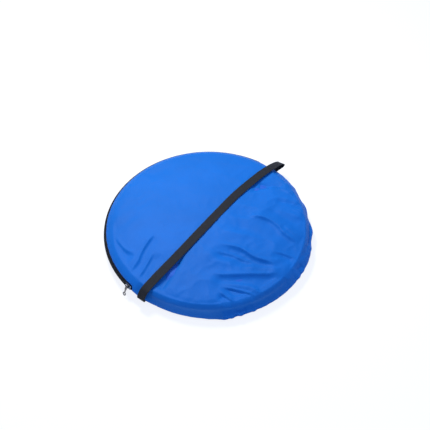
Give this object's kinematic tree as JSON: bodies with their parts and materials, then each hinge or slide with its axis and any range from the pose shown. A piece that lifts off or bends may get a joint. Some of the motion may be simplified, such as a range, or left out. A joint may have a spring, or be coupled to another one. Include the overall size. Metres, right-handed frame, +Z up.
{
  "type": "ice fishing shelter",
  "caption": "Twist-fold ice fishing shelter packed flat in its round zipped carry case with a webbing strap across the top.",
  "frame": {"origin": "centre of the flat underside of the carry case", "axes": "+Z up through the crown; +X along the carry strap, towards its slack end; +Y towards the middle of the zipped mouth"},
  "size_m": [0.6396, 0.5992, 0.0716],
  "materials": {
    "case_cloth": "fine woven polyester, coated inside",
    "zip_tape": "woven polyester tape",
    "zip_coil": "nylon coil",
    "stop_metal": "crimped",
    "slider_metal": "die-cast zinc, dark nickel plate",
    "webbing": "ribbed polypropylene webbing",
    "spring_steel": "galvanised spring wire",
    "ferrule_steel": "crimped tube",
    "hem_cloth": "hem of 300D polyester",
    "shelter_cloth": "300D polyester oxford, coated",
    "window_film": "clear vinyl film",
    "pouch_cloth": "300D polyester",
    "anchor_steel": "zinc plated"
  },
  "bodies": {
    "case": {"case_base_panel": "case_cloth", "case_top_panel": "case_cloth", "rim_seam_binding": "zip_tape", "zip_tape_lower": "zip_tape", "zip_coil_lower": "zip_coil", "zip_tape_upper_ends": "zip_tape", "zip_coil_upper_ends": "zip_coil", "zip_end_stops": "stop_metal", "carry_strap": "webbing", "wall_hoop_1": "spring_steel", "wall_hoop_2": "spring_steel", "wall_hoop_3": "spring_steel", "wall_hoop_4": "spring_steel", "wall_hem_1": "hem_cloth", "wall_hem_2": "hem_cloth", "wall_hem_3": "hem_cloth", "wall_hem_4": "hem_cloth", "hoop_ferrule_1": "ferrule_steel", "hoop_ferrule_2": "ferrule_steel", "hoop_ferrule_3": "ferrule_steel", "hoop_ferrule_4": "ferrule_steel", "snow_skirt": "shelter_cloth", "wall_cloth_1": "shelter_cloth", "wall_cloth_2": "shelter_cloth", "wall_cloth_3": "shelter_cloth", "wall_cloth_4": "shelter_cloth", "roof_cloth": "shelter_cloth", "window_pane_1": "window_film", "window_pane_2": "window_film", "window_pane_3": "window_film", "window_pane_4": "window_film", "anchor_pouch": "pouch_cloth", "ice_anchors": "anchor_steel"},
    "flap": {"case_flap": "case_cloth", "zip_tape_upper": "zip_tape", "zip_coil_upper": "zip_coil"},
    "slider": {"slider_body": "slider_metal"},
    "pull": {"pull_tab": "slider_metal"}
  },
  "joints": [
    {"name": "flap_fold", "type": "hinge", "parent": "case", "child": "flap", "pos_m": [0, 0.062, 0.0694], "axis": [1, 0, 0], "range_deg": [0, 140]},
    {"name": "slider_travel", "type": "hinge", "parent": "case", "child": "slider", "pos_m": [0, 0, 0.035], "axis": [0, 0, -1], "range_deg": [0, 161.2]},
    {"name": "pull_swing", "type": "hinge", "parent": "slider", "child": "pull", "pos_m": [-0.29701, 0.04917, 0.03823], "axis": [0.1633, 0.9866, 0], "range_deg": [0, 200]}
  ]
}
